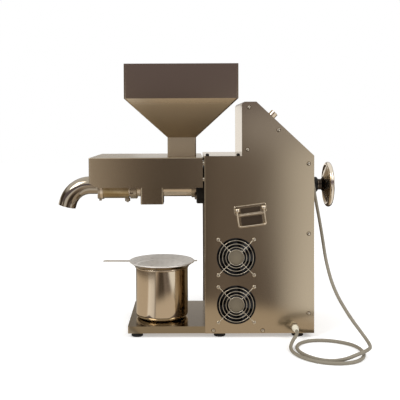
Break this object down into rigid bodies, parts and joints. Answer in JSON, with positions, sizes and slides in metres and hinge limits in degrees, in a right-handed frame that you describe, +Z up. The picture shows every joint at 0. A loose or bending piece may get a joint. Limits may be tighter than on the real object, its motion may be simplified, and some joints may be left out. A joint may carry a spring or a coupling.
{
  "type": "screw oil press",
  "caption": "Desk-top electric screw oil press with a sheet-metal housing, hopper, heated press head, cake elbow, handwheel, cooling fans, oil pot and strainer.",
  "frame": {"origin": "on the table, below the middle of the machine's length and width without its cord", "axes": "+X along the press axis towards the handwheel, the cake leaves at -X; the side with the fans faces -Y; +Z is up"},
  "size_m": [0.6205, 0.3958, 0.549],
  "materials": {
    "brushed_stainless": "brushed stainless sheet, warm reflections",
    "polished_stainless": "polished stainless steel",
    "turned_steel": "turned steel",
    "fastener_steel": "bright zinc plated",
    "black_steel": "black oxide",
    "heater_jacket": "heat-tinted steel jacket",
    "cast_metal": "cast, bare",
    "gear_steel": "cut steel, oiled",
    "motor_alloy": "cast aluminium",
    "bronze": "turned bronze",
    "black_plastic": "moulded black plastic",
    "foot_rubber": "moulded rubber",
    "gland_plastic": "light moulded plastic",
    "cord_sheath": "grey-beige cord sheath",
    "rocker_plastic": "red gloss",
    "sieve_mesh": "fine woven mesh"
  },
  "bodies": {
    "machine": {"main_housing": "brushed_stainless", "rear_cover": "brushed_stainless", "base_tray": "brushed_stainless", "rubber_feet": "foot_rubber", "housing_screws": "fastener_steel", "top_screws": "black_steel", "press_barrel": "polished_stainless", "barrel_ring": "turned_steel", "barrel_flange": "black_steel", "flange_bolts": "fastener_steel", "press_head": "polished_stainless", "head_lock_ring": "turned_steel", "heater_band": "heater_jacket", "thermocouple": "fastener_steel", "outlet_flange": "turned_steel", "outlet_bolts": "fastener_steel", "cake_elbow": "polished_stainless", "oil_chute": "brushed_stainless", "chamber_cover": "brushed_stainless", "cover_screws": "fastener_steel", "feed_port": "brushed_stainless", "bearing_housing": "cast_metal", "front_bearing": "bronze", "thrust_washer": "bronze", "gear_case_front": "cast_metal", "gear_case_rear": "cast_metal", "case_bolts": "fastener_steel", "motor_housing": "motor_alloy", "motor_bracket": "black_steel", "rear_bushing": "black_steel", "upper_fan_frame": "black_plastic", "upper_fan_guard": "polished_stainless", "lower_fan_frame": "black_plastic", "lower_fan_guard": "polished_stainless", "fan_screws": "fastener_steel", "selector_switch": "black_plastic", "temperature_controller": "black_plastic", "rocker_body": "black_plastic", "near_handle_plate": "polished_stainless", "far_handle_plate": "polished_stainless", "cable_gland": "gland_plastic", "power_cord": "cord_sheath", "mains_plug": "cord_sheath"},
    "press_shaft": {"main_shaft": "turned_steel", "auger": "turned_steel", "output_gear": "gear_steel", "handwheel": "polished_stainless"},
    "lay_train": {"lay_shaft": "gear_steel", "lay_gear": "gear_steel"},
    "rotor": {"motor_rotor": "gear_steel"},
    "upper_fan": {"upper_fan_impeller": "black_plastic"},
    "lower_fan": {"lower_fan_impeller": "black_plastic"},
    "knob": {"selector_knob": "polished_stainless"},
    "rocker": {"rocker_paddle": "rocker_plastic"},
    "near_bail": {"near_handle_bail": "polished_stainless"},
    "far_bail": {"far_handle_bail": "polished_stainless"},
    "hopper": {"hopper": "brushed_stainless"},
    "pot": {"oil_pot": "polished_stainless"},
    "strainer": {"strainer": "sieve_mesh"}
  },
  "joints": [
    {"name": "press_spin", "type": "hinge", "parent": "machine", "child": "press_shaft", "pos_m": [0, 0, 0.299], "axis": [1, 0, 0], "continuous": true},
    {"name": "lay_spin", "type": "hinge", "parent": "machine", "child": "lay_train", "pos_m": [0, 0, 0.23025], "axis": [1, 0, 0], "continuous": true},
    {"name": "rotor_spin", "type": "hinge", "parent": "machine", "child": "rotor", "pos_m": [0, 0, 0.17025], "axis": [1, 0, 0], "continuous": true},
    {"name": "upper_fan_spin", "type": "hinge", "parent": "machine", "child": "upper_fan", "pos_m": [0.0845, 0, 0.162], "axis": [0, -1, 0], "continuous": true},
    {"name": "lower_fan_spin", "type": "hinge", "parent": "machine", "child": "lower_fan", "pos_m": [0.0845, 0, 0.0666], "axis": [0, -1, 0], "continuous": true},
    {"name": "knob_turn", "type": "hinge", "parent": "machine", "child": "knob", "pos_m": [0.15785, -0.062, 0.44262], "axis": [0.6846, 0, 0.7289], "range_deg": [-45, 45]},
    {"name": "rocker_tilt", "type": "hinge", "parent": "machine", "child": "rocker", "pos_m": [0.21448, 0.045, 0.38532], "axis": [0, -1, 0], "range_deg": [0, 14]},
    {"name": "near_bail_lift", "type": "hinge", "parent": "machine", "child": "near_bail", "pos_m": [0.11267, -0.105, 0.25988], "axis": [-0.9914, 0, -0.1305], "range_deg": [0, 90]},
    {"name": "far_bail_lift", "type": "hinge", "parent": "machine", "child": "far_bail", "pos_m": [0.11267, 0.105, 0.25988], "axis": [0.9914, 0, 0.1305], "range_deg": [0, 90]},
    {"name": "hopper_lift", "type": "slide", "parent": "machine", "child": "hopper", "axis": [0, 0, 1], "range_m": [0, 0.1]},
    {"name": "pot_slide", "type": "slide", "parent": "machine", "child": "pot", "axis": [0, -1, 0], "range_m": [0, 0.07]},
    {"name": "strainer_lift", "type": "slide", "parent": "pot", "child": "strainer", "axis": [0, 0, 1], "range_m": [0, 0.06]}
  ],
  "couplings": [
    {"joint": "lay_spin", "follows": "press_spin", "ratio": -4},
    {"joint": "rotor_spin", "follows": "press_spin", "ratio": 20}
  ]
}
